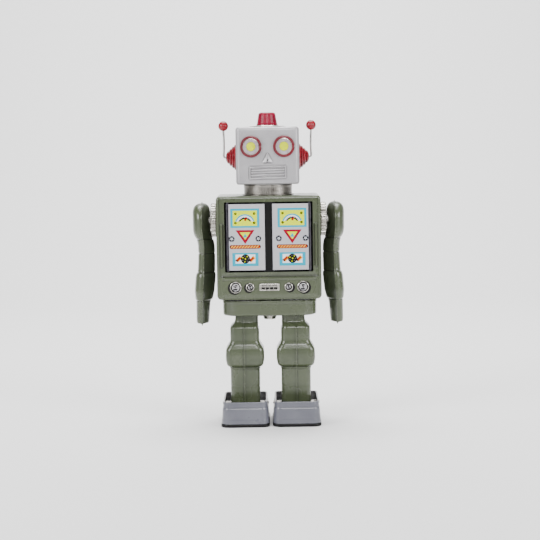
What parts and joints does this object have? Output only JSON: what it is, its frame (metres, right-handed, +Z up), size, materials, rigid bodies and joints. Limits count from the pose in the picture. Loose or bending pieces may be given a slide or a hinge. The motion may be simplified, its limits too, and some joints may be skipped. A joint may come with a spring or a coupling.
{
  "type": "wind-up robot",
  "caption": "Tin wind-up toy robot with a boxy head, turning body, swinging arms, chest doors that open over sliding guns, and a back key that drives the legs.",
  "frame": {"origin": "on the floor under the upright axis that the body turns on, at the middle of the object's box", "axes": "+Z up; the robot faces -Y; its own left side is +X"},
  "size_m": [0.113, 0.068, 0.2305],
  "materials": {
    "green_tin": "olive green baked enamel on tin plate",
    "grey_tin": "blue-grey baked enamel on tin plate",
    "silver_tin": "silver enamel on tin plate",
    "black_tin": "black enamel on tin plate",
    "printed_tin": "white litho print under varnish",
    "bright_metal": "bright plated tin",
    "steel": "plain sheet and wire steel",
    "brass": "pressed clock brass",
    "red_plastic": "red moulded plastic",
    "eye_ring_red": "red enamel",
    "eye_lens": "grey plastic with a yellow centre",
    "black_rubber": "moulded rubber"
  },
  "bodies": {
    "waist": {"waist_pan": "green_tin", "waist_top": "green_tin", "hip_axle": "steel", "swivel_post": "steel", "pivot_cap": "bright_metal"},
    "torso": {"torso_front": "green_tin", "torso_back": "green_tin", "torso_base": "green_tin", "chest_recess": "black_tin", "centre_post": "black_tin", "door_hinge_pins": "steel", "dash_dials": "bright_metal", "meter_plate": "bright_metal", "neck_collar": "bright_metal", "shoulder_discs": "bright_metal", "shoulder_studs": "bright_metal", "front_motor_plate": "steel", "rear_motor_plate": "steel", "motor_pillars": "steel", "mainspring": "steel", "back_screws": "steel"},
    "head": {"head_shell": "silver_tin", "head_base": "silver_tin", "eye_rings": "eye_ring_red", "eye_discs": "eye_lens", "lamp_cap": "red_plastic", "lamp_seat": "bright_metal", "ear_cones": "red_plastic", "antenna_wires": "steel", "antenna_balls": "red_plastic"},
    "gun_carriage": {"gun_carriage": "steel"},
    "winding": {"winding_key": "steel", "great_wheel": "brass"},
    "second_arbor": {"second_arbor": "brass"},
    "governor": {"governor": "brass"},
    "drive_shaft": {"drive_shaft": "brass"},
    "stop_lever": {"stop_lever": "steel"},
    "left_arm": {"left_arm_outer": "green_tin", "left_arm_inner": "green_tin"},
    "left_door": {"left_door": "printed_tin"},
    "left_leg": {"left_leg_outer": "green_tin", "left_leg_inner": "green_tin", "left_hip_bracket": "steel"},
    "left_foot": {"left_foot_shell": "grey_tin", "left_sole": "black_tin", "left_foot_pins": "steel"},
    "left_front_roller": {"left_front_roller": "black_rubber"},
    "left_rear_roller": {"left_rear_roller": "black_rubber"},
    "right_arm": {"right_arm_outer": "green_tin", "right_arm_inner": "green_tin"},
    "right_door": {"right_door": "printed_tin"},
    "right_leg": {"right_leg_outer": "green_tin", "right_leg_inner": "green_tin", "right_hip_bracket": "steel"},
    "right_foot": {"right_foot_shell": "grey_tin", "right_sole": "black_tin", "right_foot_pins": "steel"},
    "right_front_roller": {"right_front_roller": "black_rubber"},
    "right_rear_roller": {"right_rear_roller": "black_rubber"}
  },
  "joints": [
    {"name": "torso_turn", "type": "hinge", "parent": "waist", "child": "torso", "pos_m": [0, 0, 0.0932], "axis": [0, 0, 1], "continuous": true},
    {"name": "head_turn", "type": "hinge", "parent": "torso", "child": "head", "pos_m": [0, 0, 0.1696], "axis": [0, 0, 1], "range_deg": [-60, 60]},
    {"name": "left_arm_swing", "type": "hinge", "parent": "torso", "child": "left_arm", "pos_m": [0.0494, 0, 0.151], "axis": [-1, 0, 0], "range_deg": [-90, 170]},
    {"name": "left_door_open", "type": "hinge", "parent": "torso", "child": "left_door", "pos_m": [0.0302, -0.0205, 0.139], "axis": [0, 0, 1], "range_deg": [0, 95]},
    {"name": "left_leg_swing", "type": "hinge", "parent": "waist", "child": "left_leg", "pos_m": [0.019, 0, 0.084], "axis": [-1, 0, 0], "range_deg": [-8, 8]},
    {"name": "left_ankle", "type": "hinge", "parent": "left_leg", "child": "left_foot", "pos_m": [0.019, 0, 0.013], "axis": [-1, 0, 0], "range_deg": [-8, 8]},
    {"name": "left_front_roll", "type": "hinge", "parent": "left_foot", "child": "left_front_roller", "pos_m": [0.019, -0.024, 0.0035], "axis": [1, 0, 0], "continuous": true},
    {"name": "left_rear_roll", "type": "hinge", "parent": "left_foot", "child": "left_rear_roller", "pos_m": [0.019, 0.014, 0.0035], "axis": [1, 0, 0], "continuous": true},
    {"name": "right_arm_swing", "type": "hinge", "parent": "torso", "child": "right_arm", "pos_m": [-0.0494, 0, 0.151], "axis": [-1, 0, 0], "range_deg": [-90, 170]},
    {"name": "right_door_open", "type": "hinge", "parent": "torso", "child": "right_door", "pos_m": [-0.0302, -0.0205, 0.139], "axis": [0, 0, 1], "range_deg": [-95, 0]},
    {"name": "right_leg_swing", "type": "hinge", "parent": "waist", "child": "right_leg", "pos_m": [-0.019, 0, 0.084], "axis": [-1, 0, 0], "range_deg": [-8, 8]},
    {"name": "right_ankle", "type": "hinge", "parent": "right_leg", "child": "right_foot", "pos_m": [-0.019, 0, 0.013], "axis": [-1, 0, 0], "range_deg": [-8, 8]},
    {"name": "right_front_roll", "type": "hinge", "parent": "right_foot", "child": "right_front_roller", "pos_m": [-0.019, -0.024, 0.0035], "axis": [1, 0, 0], "continuous": true},
    {"name": "right_rear_roll", "type": "hinge", "parent": "right_foot", "child": "right_rear_roller", "pos_m": [-0.019, 0.014, 0.0035], "axis": [1, 0, 0], "continuous": true},
    {"name": "gun_slide", "type": "slide", "parent": "torso", "child": "gun_carriage", "axis": [0, -1, 0], "range_m": [0, 0.01]},
    {"name": "key_turn", "type": "hinge", "parent": "torso", "child": "winding", "pos_m": [-0.012, 0.02, 0.12542], "axis": [0, 1, 0], "continuous": true},
    {"name": "second_arbor_turn", "type": "hinge", "parent": "torso", "child": "second_arbor", "pos_m": [0, 0.01, 0.112], "axis": [0, 1, 0], "continuous": true},
    {"name": "governor_turn", "type": "hinge", "parent": "torso", "child": "governor", "pos_m": [0.01212, 0.01, 0.119], "axis": [0, 1, 0], "continuous": true},
    {"name": "drive_shaft_turn", "type": "hinge", "parent": "torso", "child": "drive_shaft", "pos_m": [0, 0, 0.1], "axis": [0, 0, 1], "continuous": true},
    {"name": "stop_lever_flip", "type": "hinge", "parent": "torso", "child": "stop_lever", "pos_m": [0.024, 0.02, 0.118], "axis": [0, 1, 0], "range_deg": [-12, 12]}
  ],
  "couplings": [
    {"joint": "right_door_open", "follows": "left_door_open", "ratio": -1},
    {"joint": "gun_slide", "follows": "left_door_open", "m_per_rad": 0.006},
    {"joint": "right_leg_swing", "follows": "left_leg_swing", "ratio": -1},
    {"joint": "left_ankle", "follows": "left_leg_swing", "ratio": -1},
    {"joint": "right_ankle", "follows": "left_leg_swing", "ratio": 1},
    {"joint": "second_arbor_turn", "follows": "key_turn", "ratio": -4},
    {"joint": "governor_turn", "follows": "key_turn", "ratio": 16},
    {"joint": "drive_shaft_turn", "follows": "key_turn", "ratio": -2}
  ]
}
